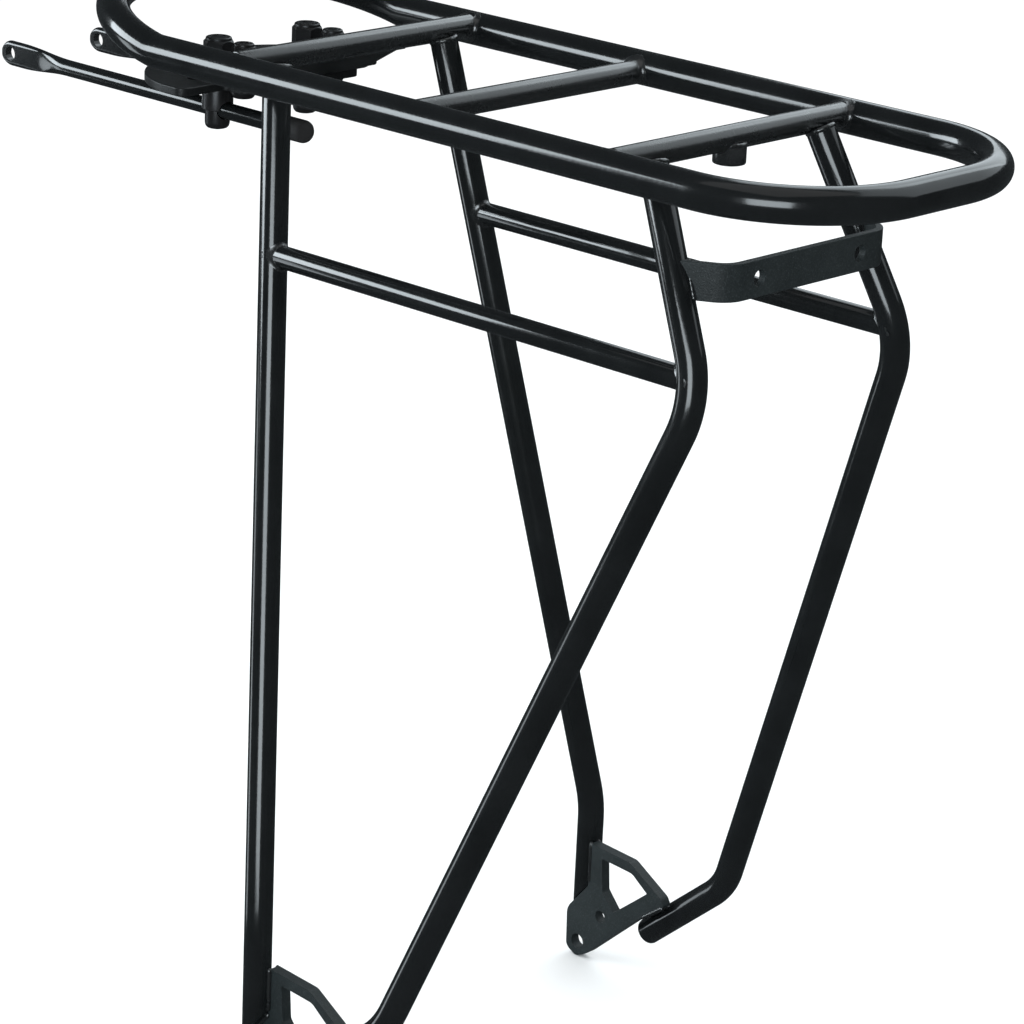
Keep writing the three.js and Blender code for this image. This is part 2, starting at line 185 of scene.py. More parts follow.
def colour_setting(name, description, default):
    return FloatVectorProperty(name=name, description=description, default=default + (1,), size=4,
                               subtype="COLOR")


class RackSizes(PropertyGroup):
    """Sizes of the rack's tubes, plates and welds"""

    hoop_radius: length_setting("Hoop radius", "Outside radius of the platform hoop's tube", 0.006)
    cross_radius: length_setting("Cross tube radius", "Outside radius of the cross tubes", 0.0042)
    leg_radius: length_setting("Leg radius", "Outside radius of the leg tubes", 0.005)
    rail_radius: length_setting("Lower rail radius", "Outside radius of the side rails", 0.004)
    plate_thickness: length_setting("Dropout thickness", "Thickness of the dropout plates", 0.0042)
    plate_edge: length_setting("Plate edge radius", "Rounding along the edges of the plates", 0.0004, 5)
    bead: length_setting("Weld bead", "Radius of the weld beads", 0.0009, 5)
    tube_sides: IntProperty(
        name="Tube sides", description="Faces round each tube", default=48, min=12, max=96)


class RackFinish(PropertyGroup):
    """Colours of the rack's finishes"""

    coat: colour_setting("Gloss coat", "Powder coat on the tubes", (0.005, 0.0058, 0.0062))
    plate_coat: colour_setting("Plate coat", "Textured powder coat on the plates", (0.0105, 0.0152, 0.0163))
    steel: colour_setting("Black steel", "Blackened steel of the fasteners", (0.03, 0.032, 0.034))
    rubber: colour_setting("End cap", "Rubber of the stay end caps", (0.010, 0.010, 0.0105))
    floor: colour_setting("Floor", "Pale studio floor", (0.86, 0.87, 0.87))


class RackStep:
    """One step of the build: runs with the rack's sizes."""

    def execute(self, context):
        self.build(context.scene.rack_sizes)
        return {"FINISHED"}


# ------------------------------------------------------------- mesh building


def verts_of(geometry):
    return [g for g in geometry if isinstance(g, bmesh.types.BMVert)]


def edges_of(geometry):
    return [g for g in geometry if isinstance(g, bmesh.types.BMEdge)]


def ends_of(edges):
    return list({v for e in edges for v in e.verts})


def rounded_edges(bm, edges, offset, segments=3):
    bmesh.ops.bevel(bm, geom=edges, offset=offset, offset_type="OFFSET", affect="EDGES",
                    segments=segments, profile=0.5, material=-1, clamp_overlap=True)


def tube_section(bm, at, along, radius, sides):
    """A ring of edges square to a tube's direction."""
    place = Matrix.Translation(at) @ along.to_track_quat("Z", "Y").to_matrix().to_4x4()
    verts = set(bmesh.ops.create_circle(
        bm, cap_ends=False, segments=sides, radius=radius, matrix=place)["verts"])
    return [e for e in bm.edges if set(e.verts) <= verts]


def strap_section(bm, at, along, up, width, thickness, edge):
    """A flat bar's rounded section as a ring of edges, width along up."""
    across = up.cross(along).normalized()
    corners = [(0.5, 0.5), (-0.5, 0.5), (-0.5, -0.5), (0.5, -0.5)]
    verts = [bm.verts.new(at + across * thickness * a + up * width * b) for a, b in corners]
    bm.faces.new(verts)
    bmesh.ops.bevel(bm, geom=verts, offset=edge, offset_type="OFFSET", affect="VERTICES",
                    segments=3, profile=0.5, material=-1, clamp_overlap=True)
    bmesh.ops.delete(bm, geom=bm.faces[:], context="FACES_ONLY")
    return bm.edges[:]


def bends(corners):
    """Each straight run's end, and the centre, axis and angle of the bend that follows it."""
    points = [Vector(p) * MM for p, _ in corners]
    for i in range(1, len(points) - 1):
        before = (points[i] - points[i - 1]).normalized()
        after = (points[i + 1] - points[i]).normalized()
        angle = before.angle(after)
        radius = corners[i][1] * MM
        start = points[i] - before * radius * math.tan(angle / 2)
        axis = before.cross(after).normalized()
        yield start, start + axis.cross(before) * radius, axis, angle
    yield points[-1], None, None, 0.0


def push_ring(bm, ring, step):
    """Extrudes a ring of edges by a step; gives the new ring and its vertices."""
    made = bmesh.ops.extrude_edge_only(bm, edges=ring)["geom"]
    fresh = set(verts_of(made))
    bmesh.ops.translate(bm, verts=list(fresh), vec=step)
    return [e for e in edges_of(made) if set(e.verts) <= fresh], list(fresh)


def push_along(bm, ring, corners, step=math.radians(3)):
    """Extrudes a section along the straight runs and spins it round the bends."""
    here = Vector(corners[0][0]) * MM
    for end, centre, axis, angle in bends(corners):
        if (end - here).length > 1e-6:
            ring, _ = push_ring(bm, ring, end - here)
            here = end
        if centre is not None:
            steps = max(3, math.ceil(angle / step))
            made = bmesh.ops.spin(bm, geom=ring + ends_of(ring), cent=centre, axis=axis, angle=angle,
                                  steps=steps, use_duplicate=False)["geom_last"]
            ring = edges_of(made)
            here = centre + Matrix.Rotation(angle, 3, axis) @ (here - centre)
    return ring


def mirror_points(corners, side):
    return [((x, y * side, z), radius) for (x, y, z), radius in corners]


def first_run(corners):
    """Where a centreline starts, and its direction there."""
    start, second = (Vector(point) * MM for point, _ in corners[:2])
    return start, (second - start).normalized()


def bent_tube(corners, radius, sides, end_round=0.6 * MM):
    """A tube along a bent centreline, both ends closed and their rims rounded."""
    bm = bmesh.new()
    start, along = first_run(corners)
    first = tube_section(bm, start, along, radius, sides)
    last = push_along(bm, first, corners)
    for ring in (first, last):
        bmesh.ops.edgeloop_fill(bm, edges=ring)
    rounded_edges(bm, first + last, end_round)
    return bm


def bent_strap(corners, up, width, thickness):
    """A flat bar along a bent centreline, closed at both ends, with its width along up."""
    bm = bmesh.new()
    start, along = first_run(corners)
    first = strap_section(bm, start, along, up, width, thickness, 0.4 * MM)
    last = push_along(bm, first, corners)
    for ring in (first, last):
        bmesh.ops.edgeloop_fill(bm, edges=ring)
    bmesh.ops.recalc_face_normals(bm, faces=bm.faces)
    return bm


def turned(bm, profile, at, axis=Z_AXIS, steps=48):
    """Spins a profile of (radius, height) in millimetres round an axis."""
    side = axis.orthogonal().normalized()
    verts = [bm.verts.new(at + side * r * MM + axis * h * MM) for r, h in profile]
    pairs = zip(verts, verts[1:] + verts[:1]) if profile[0][0] > 0 else zip(verts, verts[1:])
    edges = [bm.edges.new(pair) for pair in pairs]
    bmesh.ops.spin(bm, geom=verts + edges, cent=at, axis=axis, angle=2 * math.pi, steps=steps,
                   use_merge=True, use_duplicate=False)
    bmesh.ops.remove_doubles(bm, verts=bm.verts, dist=2e-6)


def turned_body(profile, at, axis=Z_AXIS, steps=48):
    bm = bmesh.new()
    turned(bm, profile, at, axis, steps)
    bmesh.ops.recalc_face_normals(bm, faces=bm.faces)
    return bm


def pin(start, end, radius, sides=40):
    """A plain closed cutter from one point to another."""
    bm = bmesh.new()
    along = end - start
    place = Matrix.Translation((start + end) / 2) @ along.to_track_quat("Z", "Y").to_matrix().to_4x4()
    bmesh.ops.create_cone(bm, cap_ends=True, segments=sides, radius1=radius, radius2=radius,
                          depth=along.length, matrix=place)
    return bm


def thicken(bm, step):
    """Extrudes a flat body's faces by a step into a closed body."""
    lifted = bmesh.ops.extrude_face_region(bm, geom=list(bm.faces))["geom"]
    bmesh.ops.translate(bm, verts=verts_of(lifted), vec=step)
    bmesh.ops.recalc_face_normals(bm, faces=bm.faces)


def hexagon_body(at, corner, height):
    """A hexagonal prism, sized in millimetres across its corners' radius."""
    bm = bmesh.new()
    bmesh.ops.create_circle(bm, cap_ends=True, segments=6, radius=corner * MM,
                            matrix=Matrix.Translation(at))
    thicken(bm, mm(0, 0, height))
    return bm


def outline_body(outline, plane, thickness):
    """A plate from a flat outline of ((a, b), corner radius); plane puts it in place."""
    bm = bmesh.new()
    verts = [bm.verts.new((a * MM, b * MM, 0)) for (a, b), _ in outline]
    bm.faces.new(verts)
    for vert, (_, radius) in zip(verts, outline):
        if radius:
            bmesh.ops.bevel(bm, geom=[vert], offset=radius * MM * 0.6, offset_type="OFFSET",
                            affect="VERTICES", segments=6, profile=0.5, material=-1, clamp_overlap=True)
    thicken(bm, (0, 0, thickness))
    bmesh.ops.transform(bm, matrix=plane, verts=bm.verts)
    return bm


def carve(bm, tools, operation="DIFFERENCE"):
    """Cuts the tools out of a body, or keeps only what they share."""
    target = scratch(bm)
    for tool_bm in tools:
        bmesh.ops.recalc_face_normals(tool_bm, faces=tool_bm.faces)
        tool = scratch(tool_bm)
        step = target.modifiers.new("carve", "BOOLEAN")
        step.operation, step.solver, step.object = operation, "EXACT", tool
    result = bmesh.new()
    result.from_object(target, bpy.context.evaluated_depsgraph_get())
    for step in list(target.modifiers):
        drop(step.object)
    drop(target)
    return result


def scratch(bm):
    mesh = bpy.data.meshes.new("scratch")
    bm.to_mesh(mesh)
    bm.free()
    obj = bpy.data.objects.new("scratch", mesh)
    bpy.context.scene.collection.objects.link(obj)
    return obj


def drop(obj):
    mesh = obj.data
    bpy.data.objects.remove(obj)
    bpy.data.meshes.remove(mesh)


# --------------------------------------------------------------------- welds


def ripple(distance):
    """Size of a weld along its length, round 1: soft, overlapping scales."""
    return 0.96 + 0.08 * abs(math.sin(math.pi * distance / (1.7 * MM)))


def join_into(bm, part):
    """Moves a small body's faces into a larger one."""
    mesh = bpy.data.meshes.new("part")
    part.to_mesh(mesh)
    part.free()
    bm.from_mesh(mesh)
    bpy.data.meshes.remove(mesh)


def fillet_section(radius, spread):
    """A weld's section in millimetres: a hollow curve from the wall up to the tube's side."""
    turns = [math.radians(15 * k) for k in range(7)]
    curve = [(radius + spread * (1 - math.sin(t)), spread * (1 - math.cos(t))) for t in turns]
    return curve + [(radius - 0.4, spread), (radius - 0.4, -0.6), (radius + spread, -0.6)]


def round_section(radius, thick):
    """A weld's section in millimetres: a round bead."""
    turns = [math.radians(30 * k) for k in range(12)]
    return [(radius + thick * math.cos(t), thick * math.sin(t)) for t in turns]


def tube_wall(along, through, direction, radius):
    """How far a point slides along a tube to meet another tube, and how far inside its edge it is."""
    direction = direction.normalized()
    rise = along - direction * along.dot(direction)
    a = rise.dot(rise)

    def meet(point):
        offset = point - through
        offset -= direction * offset.dot(direction)
        b = offset.dot(rise)
        miss = math.sqrt(max(0.0, offset.dot(offset) - b * b / a))
        reach = math.sqrt(max(0.0, radius * radius - miss * miss) / a)
        return reach - b / a, radius - miss

    return meet


def ring_weld(bm, foot, along, radius, section, meet, spread=0.0, least=-1.0):
    """A weld round a tube's foot, laid on the wall it meets and thinner where the wall turns away."""
    side = along.orthogonal().normalized()
    across = along.cross(side)
    ring = bmesh.new()
    turned(ring, section, foot, along, 96)
    for vert in ring.verts:
        spoke = vert.co - foot
        spoke -= along * spoke.dot(along)
        core = foot + spoke.normalized() * radius
        size = ripple(math.atan2(spoke.dot(across), spoke.dot(side)) * radius)
        if spread:
            size *= max(0.12, min(1.0, meet(core)[1] / spread))
        spot = core + (vert.co - core) * size
        level = spot - along * (spot - foot).dot(along)
        vert.co = spot + along * max(least, meet(level)[0])
    join_into(bm, ring)


def seam_bead(bm, start, end, thick):
    """A straight weld with scales along it and both ends tapered."""
    length = (end - start).length
    along = (end - start) / length
    steps = max(6, round(length / (0.4 * MM)))
    bead = bmesh.new()
    ring = tube_section(bead, start, along, thick, 12)
    rings = [ends_of(ring)]
    bmesh.ops.edgeloop_fill(bead, edges=ring)
    for _ in range(steps):
        ring, fresh = push_ring(bead, ring, along * length / steps)
        rings.append(fresh)
    bmesh.ops.edgeloop_fill(bead, edges=ring)
    for k, verts in enumerate(rings):
        t = k / steps
        taper = max(0.15, min(1.0, math.sqrt(min(t, 1 - t) * length / thick)))
        size = taper * ripple(t * length)
        core = Matrix.Translation(-(start + along * length * t))
        bmesh.ops.scale(bead, verts=verts, vec=(size,) * 3, space=core)
    join_into(bm, bead)


# ----------------------------------------------------------------- materials


def feed(tree, socket, value):
    """Links a node's output into a socket, or sets the socket to a plain value."""
    if isinstance(value, bpy.types.NodeSocket):
        tree.links.new(value, socket)
    else:
        socket.default_value = value


def add(tree, kind, x, y, **settings):
    """Adds a node; keys name its settings, and numbers or names under "sockets" its inputs."""
    made = tree.nodes.new(kind)
    made.location = (x, y)
    for key, value in settings.pop("sockets", {}).items():
        feed(tree, made.inputs[key], value)
    for key, value in settings.items():
        setattr(made, key, value)
    return made


def noise(tree, where, scale, detail, roughness, x, y):
    made = add(tree, "ShaderNodeTexNoise", x, y, sockets={
        "Vector": where, "Scale": scale, "Detail": detail, "Roughness": roughness})
    return made.outputs["Fac"]


def spread(tree, value, low, high, to_low, to_high, x, y):
    """Maps a value's range onto another, held at both ends."""
    made = add(tree, "ShaderNodeMapRange", x, y, sockets={
        0: value, 1: low, 2: high, 3: to_low, 4: to_high})
    return made.outputs[0]


def product(tree, first, second, x, y, clamp=False):
    made = add(tree, "ShaderNodeMath", x, y, operation="MULTIPLY", use_clamp=clamp, sockets={
        0: first, 1: second})
    return made.outputs[0]


def tint(tree, amount, first, second, x, y):
    """Mixes two colours."""
    mix = tree.nodes.new("ShaderNodeMix")
    mix.data_type, mix.location = "RGBA", (x, y)
    for number, value in ((0, amount), (6, first), (7, second)):
        feed(tree, mix.inputs[number], value)
    return mix.outputs[2]


def scaled(colour, factor):
    return [part * factor for part in colour[:3]] + [1]


def new_group(name, inputs, outputs):
    """A node group's tree, what comes into it and what goes out of it."""
    tree = bpy.data.node_groups.new(name, "ShaderNodeTree")
    for label, kind, default in inputs:
        socket = tree.interface.new_socket(name=label, in_out="INPUT", socket_type=kind)
        if default is not None:
            socket.default_value = default
    for label in outputs:
        tree.interface.new_socket(name=label, in_out="OUTPUT", socket_type="NodeSocketFloat")
    return tree, add(tree, "NodeGroupInput", -900, 0).outputs, add(tree, "NodeGroupOutput", 600, 0).inputs


def coat_grain_group():
    """Mottle, orange peel and pale flecks of a sprayed and baked powder coat."""
    tree, source, sink = new_group(
        "Coat Grain",
        [("Vector", "NodeSocketVector", None), ("Peel Scale", "NodeSocketFloat", 900.0),
         ("Fleck Scale", "NodeSocketFloat", 2600.0), ("Fleck Level", "NodeSocketFloat", 0.62)],
        ["Mottle", "Peel", "Fleck"])
    where = source["Vector"]
    broad = noise(tree, where, 38.0, 5.0, 0.6, -500, 250)
    peel = noise(tree, where, source["Peel Scale"], 2.0, 0.5, -500, 0)
    fine = noise(tree, where, source["Fleck Scale"], 3.0, 0.7, -500, -250)
    fleck = add(tree, "ShaderNodeMath", -250, -250, operation="SUBTRACT", sockets={
        0: fine, 1: source["Fleck Level"]})
    tree.links.new(spread(tree, broad, 0.3, 0.7, 0.0, 1.0, 200, 250), sink["Mottle"])
    tree.links.new(peel, sink["Peel"])
    tree.links.new(spread(tree, fleck.outputs[0], 0.0, 0.12, 0.0, 1.0, 200, -250), sink["Fleck"])
    return tree


def edge_wear_and_sheen_group():
    """Proud edges, broken up by noise: partly where a coat runs thin, partly a painted highlight along
    them.
    """
    tree, source, sink = new_group(
        "Edge Wear and Sheen",
        [("Vector", "NodeSocketVector", None), ("Start", "NodeSocketFloat", 0.54),
         ("Full", "NodeSocketFloat", 0.68)],
        ["Mask"])
    shape = add(tree, "ShaderNodeNewGeometry", -700, 200)
    proud = spread(tree, shape.outputs["Pointiness"], source["Start"], source["Full"], 0.0, 1.0, -400, 200)
    patch = noise(tree, source["Vector"], 240.0, 4.0, 0.65, -400, -100)
    broken = spread(tree, patch, 0.38, 0.62, 0.15, 1.0, -150, -100)
    tree.links.new(product(tree, proud, broken, 200, 0, clamp=True), sink["Mask"])
    return tree


def rub_marks_group():
    """Faint handling marks: thin, stretched scuffs."""
    tree, source, sink = new_group(
        "Rub Marks",
        [("Vector", "NodeSocketVector", None), ("Scale", "NodeSocketFloat", 60.0)],
        ["Mask"])
    turn = add(tree, "ShaderNodeMapping", -650, 0, sockets={
        "Vector": source["Vector"], "Rotation": (0.4, 0.7, 0.3), "Scale": (1.0, 9.0, 1.4)})
    lines = noise(tree, turn.outputs[0], source["Scale"], 6.0, 0.72, -400, 0)
    tree.links.new(spread(tree, lines, 0.6, 0.74, 0.0, 1.0, 100, 0), sink["Mask"])
    return tree


GROUPS = {"Coat Grain": coat_grain_group, "Edge Wear and Sheen": edge_wear_and_sheen_group, "Rub Marks": rub_marks_group}


def use_group(tree, name, x, y, sockets):
    """Adds a shared node group to a material, building it the first time."""
    made = tree.nodes.new("ShaderNodeGroup")
    made.node_tree = bpy.data.node_groups.get(name) or GROUPS[name]()
    made.location = (x, y)
    for key, value in sockets.items():
        feed(tree, made.inputs[key], value)
    return made.outputs


def blank_material(name, constants):
    material = bpy.data.materials.new(name)
    material.use_nodes = True
    tree = material.node_tree
    tree.nodes.clear()
    output = add(tree, "ShaderNodeOutputMaterial", 900, 0)
    shader = add(tree, "ShaderNodeBsdfPrincipled", 600, 0, sockets=constants)
    tree.links.new(shader.outputs[0], output.inputs["Surface"])
    where = add(tree, "ShaderNodeTexCoord", -900, 0).outputs["Object"]
    return material, tree, shader, where


def bump(tree, shader, height, strength, distance):
    made = add(tree, "ShaderNodeBump", 350, -300, sockets={
        "Strength": strength, "Distance": distance, "Height": height})
    tree.links.new(made.outputs[0], shader.inputs["Normal"])


def coat_material(name, colour, fleck, level, rough, peel, wear_and_sheen_amount, constants):
    """Powder coat: mottled colour, flecks, orange peel, and proud edges lightened partly where it runs thin
    and partly by a painted edge highlight.

    fleck is a colour and level how rare flecks are; rough is the range of roughness; peel is the
    orange peel's scale, strength and height; rub is how far proud edges are lightened, partly where
    the coat runs thin and partly as a painted edge highlight.
    """
    scale, strength, height = peel
    material, tree, shader, where = blank_material(name, constants)
    grain = use_group(tree, "Coat Grain", -600, 200, {
        "Vector": where, "Peel Scale": scale, "Fleck Level": level})
    edge = use_group(tree, "Edge Wear and Sheen", -600, -100, {"Vector": where})
    marks = use_group(tree, "Rub Marks", -600, -350, {"Vector": where})
    base = tint(tree, grain["Mottle"], scaled(colour, 0.78), scaled(colour, 1.25), -300, 300)
    base = tint(tree, grain["Fleck"], base, fleck, -50, 300)
    # Proud edges lightened: partly thin coat, partly a painted highlight along them.
    wear_and_sheen = product(tree, edge["Mask"], wear_and_sheen_amount, -300, -100)
    base = tint(tree, wear_and_sheen, base, (0.11, 0.115, 0.12, 1), 200, 300)
    tree.links.new(base, shader.inputs["Base Color"])
    gloss = spread(tree, grain["Mottle"], 0.0, 1.0, *rough, -100, 0)
    scuffed = add(tree, "ShaderNodeMath", 150, 0, operation="MULTIPLY_ADD", use_clamp=True, sockets={
        0: marks["Mask"], 1: 0.05, 2: gloss})
    tree.links.new(scuffed.outputs[0], shader.inputs["Roughness"])
    bump(tree, shader, grain["Peel"], strength, height)
    return material


def gloss_coat(colours):
    return coat_material(
        "gloss_black_coat", colours.coat, fleck=(0.03, 0.034, 0.036, 1), level=0.7,
        rough=(0.13, 0.2), peel=(620.0, 0.10, 0.0002), wear_and_sheen_amount=0.35,
        constants={"Coat Weight": 0.4, "Coat Roughness": 0.05, "IOR": 1.5})


def cross_coat(colours):
    return coat_material(
        "satin_tube_coat", colours.coat, fleck=(0.05, 0.058, 0.062, 1), level=0.6,
        rough=(0.22, 0.32), peel=(1100.0, 0.15, 0.0003), wear_and_sheen_amount=0.15,
        constants={"Coat Weight": 0.25, "Coat Roughness": 0.14, "IOR": 1.75, "Specular IOR Level": 0.65})


def plate_coat(colours):
    return coat_material(
        "textured_plate_coat", colours.plate_coat, fleck=(0.04, 0.05, 0.053, 1), level=0.57,
        rough=(0.46, 0.62), peel=(1500.0, 0.35, 0.0003), wear_and_sheen_amount=0.0,
        constants={"Specular IOR Level": 0.35, "IOR": 1.5})


def dark_plate_coat(colours):
    return coat_material(
        "dark_plate_coat", colours.coat, fleck=(0.02, 0.023, 0.024, 1), level=0.6,
        rough=(0.36, 0.48), peel=(1500.0, 0.3, 0.0003), wear_and_sheen_amount=0.0,
        constants={"Specular IOR Level": 0.4, "IOR": 1.5})


def black_steel(colours):
    """Blackened steel: dark oxide, with turned edges brightened partly by wear and partly as a painted edge
    highlight.
    """
    material, tree, shader, where = blank_material("black_steel", {"Metallic": 0.75})
    grain = use_group(tree, "Coat Grain", -600, 200, {
        "Vector": where, "Peel Scale": 1800.0, "Fleck Level": 0.6})
    edge = use_group(tree, "Edge Wear and Sheen", -600, -100, {"Vector": where})
    marks = use_group(tree, "Rub Marks", -600, -350, {"Vector": where, "Scale": 160.0})
    steel = list(colours.steel)
    warm = [steel[0] * 0.8, steel[1] * 0.72, steel[2] * 0.7, 1]
    base = tint(tree, grain["Mottle"], warm, steel, -300, 300)
    base = tint(tree, marks["Mask"], base, (0.07, 0.073, 0.078, 1), -50, 300)
    # Turned edges brightened: partly wear, partly a painted edge highlight.
    wear_and_sheen = product(tree, edge["Mask"], 0.6, -300, -100)
    base = tint(tree, wear_and_sheen, base, (0.2, 0.2, 0.205, 1), 200, 300)
    tree.links.new(base, shader.inputs["Base Color"])
    tree.links.new(spread(tree, grain["Mottle"], 0.0, 1.0, 0.26, 0.42, 0, 0), shader.inputs["Roughness"])
    bump(tree, shader, grain["Peel"], 0.15, 0.0001)
    return material


def cap_rubber(colours):
    """Moulded rubber: matt, slightly bloomed, with a fine tooth."""
    material, tree, shader, where = blank_material("cap_rubber", {"Specular IOR Level": 0.35})
    grain = use_group(tree, "Coat Grain", -600, 200, {
        "Vector": where, "Peel Scale": 2200.0, "Fleck Level": 0.66})
    rubber = list(colours.rubber)
    base = tint(tree, grain["Mottle"], rubber, scaled(rubber, 1.9), -300, 300)
    base = tint(tree, grain["Fleck"], base, (0.04, 0.04, 0.041, 1), 0, 300)
    tree.links.new(base, shader.inputs["Base Color"])
    tree.links.new(spread(tree, grain["Mottle"], 0.0, 1.0, 0.62, 0.78, 0, 0), shader.inputs["Roughness"])
    bump(tree, shader, grain["Peel"], 0.4, 0.0002)
    return material


# Each finish: what makes its material, and the slot it fills.
FINISHES = {
    "gloss": (gloss_coat, "powder_coat"),
    "cross": (cross_coat, "powder_coat"),
    "plate": (plate_coat, "plate_coat"),
    "dark plate": (dark_plate_coat, "plate_coat"),
    "steel": (black_steel, "black_steel"),
    "rubber": (cap_rubber, "cap_rubber"),
}
MADE = {}


# ----------------------------------------------------------- pieces, by group


def piece(name, bm, body, finish, nodes, edge=0.0):
    """Puts a finished body in the scene: closed, facing out, riding, and standing for its nodes."""
    build, slot = FINISHES[finish]
    if finish not in MADE:
        MADE[finish] = build(bpy.context.scene.rack_finish)
    bmesh.ops.remove_doubles(bm, verts=bm.verts, dist=1e-6)
    bmesh.ops.recalc_face_normals(bm, faces=bm.faces)
    mesh = bpy.data.meshes.new(name)
    bm.to_mesh(mesh)
    bm.free()
    if not mesh.polygons:
        raise RuntimeError(f"{name} came out empty")
    mesh.polygons.foreach_set("use_smooth", [True] * len(mesh.polygons))
    mesh.materials.append(MADE[finish])
    obj = bpy.data.objects.new(name, mesh)
    bpy.context.scene.collection.objects.link(obj)
    if edge:
        soft = obj.modifiers.new("edge", "BEVEL")
        soft.width, soft.segments, soft.limit_method = edge, 3, "ANGLE"
        soft.angle_limit = math.radians(28)
        soft.use_clamp_overlap = True
        obj.modifiers.new("flats", "WEIGHTED_NORMAL").keep_sharp = False
    else:
        mesh.set_sharp_from_angle(angle=math.radians(38))
    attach(obj, body)
    if nodes:
        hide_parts(*nodes)


class RACK_OT_hoop(RackStep, Operator):
    """Bend the platform's hoop from one tube"""

    bl_idname = "rack.hoop"
    bl_label = "Platform Hoop"

    def build(self, sizes):
        bm = bmesh.new()
        start = Vector(HOOP_LINE[0][0]) * MM
        ring = tube_section(bm, start, Y_AXIS, sizes.hoop_radius, sizes.tube_sides)
        push_along(bm, ring, HOOP_LINE)
        bmesh.ops.mirror(bm, geom=bm.verts[:] + bm.edges[:] + bm.faces[:], axis="Y", merge_dist=1e-5)
        piece("hoop", bm, "frame", "gloss", ["platform_hoop"])


class RACK_OT_cross_tubes(RackStep, Operator):
    """Make the three tubes across the platform"""

    bl_idname = "rack.cross_tubes"
    bl_label = "Cross Tubes"

    def build(self, sizes):
        for place in ("front", "middle", "rear"):
            node = f"cross_tube_{place}"
            x, _, z = middle(node) / MM
            line = [((x, -CROSS_END, z), 0), ((x, CROSS_END, z), 0)]
            tube = bent_tube(line, sizes.cross_radius, sizes.tube_sides)
            piece(f"cross_{place}", tube, "frame", "cross", [node])


class RACK_OT_legs(RackStep, Operator):
    """Bend the four legs and trim the front ones where they stand on the dropouts"""

    bl_idname = "rack.legs"
    bl_label = "Legs"

    def build(self, sizes):
        for name, side in SIDES.items():
            line = mirror_points(REAR_LEG_LINE, side)
            leg = bent_tube(line, sizes.leg_radius, sizes.tube_sides, end_round=0.9 * MM)
            piece(f"rear_leg_tube_{name}", leg, "frame", "gloss", [f"rear_leg_{name}"])
            line = mirror_points(FRONT_LEG_LINE, side)
            leg = bent_tube(line, sizes.leg_radius, sizes.tube_sides)
            cut = edges_of(bmesh.ops.bisect_plane(
                leg, geom=leg.verts[:] + leg.edges[:] + leg.faces[:], dist=1e-6,
                plane_co=SHOULDER_AT, plane_no=SHOULDER_NORMAL, clear_inner=True)["geom_cut"])
            bmesh.ops.edgeloop_fill(leg, edges=cut)
            rounded_edges(leg, cut, 0.6 * MM)
            piece(f"front_leg_tube_{name}", leg, "frame", "gloss", [f"front_leg_{name}"])


def crossing(line, z):
    """Where a leg's upper run passes a height, in millimetres."""
    a, b = Vector(line[0][0]), Vector(line[1][0])
    return a.lerp(b, (z - a.z) / (b.z - a.z))


class RACK_OT_lower_rails(RackStep, Operator):
    """Make the side rails between the legs"""

    bl_idname = "rack.lower_rails"
    bl_label = "Lower Rails"

    def build(self, sizes):
        for name, side in SIDES.items():
            front = crossing(mirror_points(FRONT_LEG_LINE, side), RAIL_Z)
            rear = crossing(mirror_points(REAR_LEG_LINE, side), RAIL_Z)
            inset = (front - rear).normalized() * 3
            rail = bent_tube([(rear + inset, 0), (front - inset, 0)], sizes.rail_radius, sizes.tube_sides)
            piece(f"lower_rail_tube_{name}", rail, "frame", "gloss", [f"lower_rail_{name}"])


class RACK_OT_dropouts(RackStep, Operator):
    """Cut the dropout plates with their eyelets, second holes and windows"""

    bl_idname = "rack.dropouts"
    bl_label = "Dropout Plates"

    def build(self, sizes):
        upright = Matrix.Rotation(math.pi / 2, 4, "X")
        clear = 2 * MM
        for name in SIDES:
            node = f"dropout_plate_{name}"
            low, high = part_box(node)
            plane = Matrix.Translation((0, high.y, 0)) @ upright
            plate = outline_body(DROPOUT_OUTLINE, plane, sizes.plate_thickness)
            plane = Matrix.Translation((0, high.y + clear, 0)) @ upright
            window = outline_body(DROPOUT_WINDOW, plane, sizes.plate_thickness + 2 * clear)
            start, end = Y_AXIS * (low.y - clear), Y_AXIS * (high.y + clear)
            eyelet = pin(start, end, EYELET_HOLE * MM)
            second = pin(start + SECOND_AT, end + SECOND_AT, SECOND_HOLE * MM)
            plate = carve(plate, [window, eyelet, second])
            piece(f"dropout_{name}", plate, "frame", "plate", [node], sizes.plate_edge)


class RACK_OT_lamp_bracket(RackStep, Operator):
    """Bend the rear lamp's strap between the legs and drill it"""

    bl_idname = "rack.lamp_bracket"
    bl_label = "Lamp Bracket"

    def build(self, sizes):
        low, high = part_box("light_bracket")
        thickness, bend_y, bend, hole_y = 2.6, 38, 9, 25
        z = (low.z + high.z) / 2
        leg = crossing(REAR_LEG_LINE, z / MM)
        x, end_x = low.x / MM + thickness / 2, leg.x - 1.4
        line = [
            ((end_x, leg.y, z / MM), 0),
            ((x, bend_y, z / MM), bend),
            ((x, -bend_y, z / MM), bend),
            ((end_x, -leg.y, z / MM), 0),
        ]
        strap = bent_strap(line, Z_AXIS, high.z - low.z, thickness * MM)
        reach = X_AXIS * 5 * MM
        centres = [Vector((low.x + MM, y * MM, z)) for y in (-hole_y, hole_y)]
        strap = carve(strap, [pin(at - reach, at + reach, BOLT_HOLE * MM) for at in centres])
        piece("lamp_strap", strap, "frame", "plate", ["light_bracket"], edge=0.25 * MM)


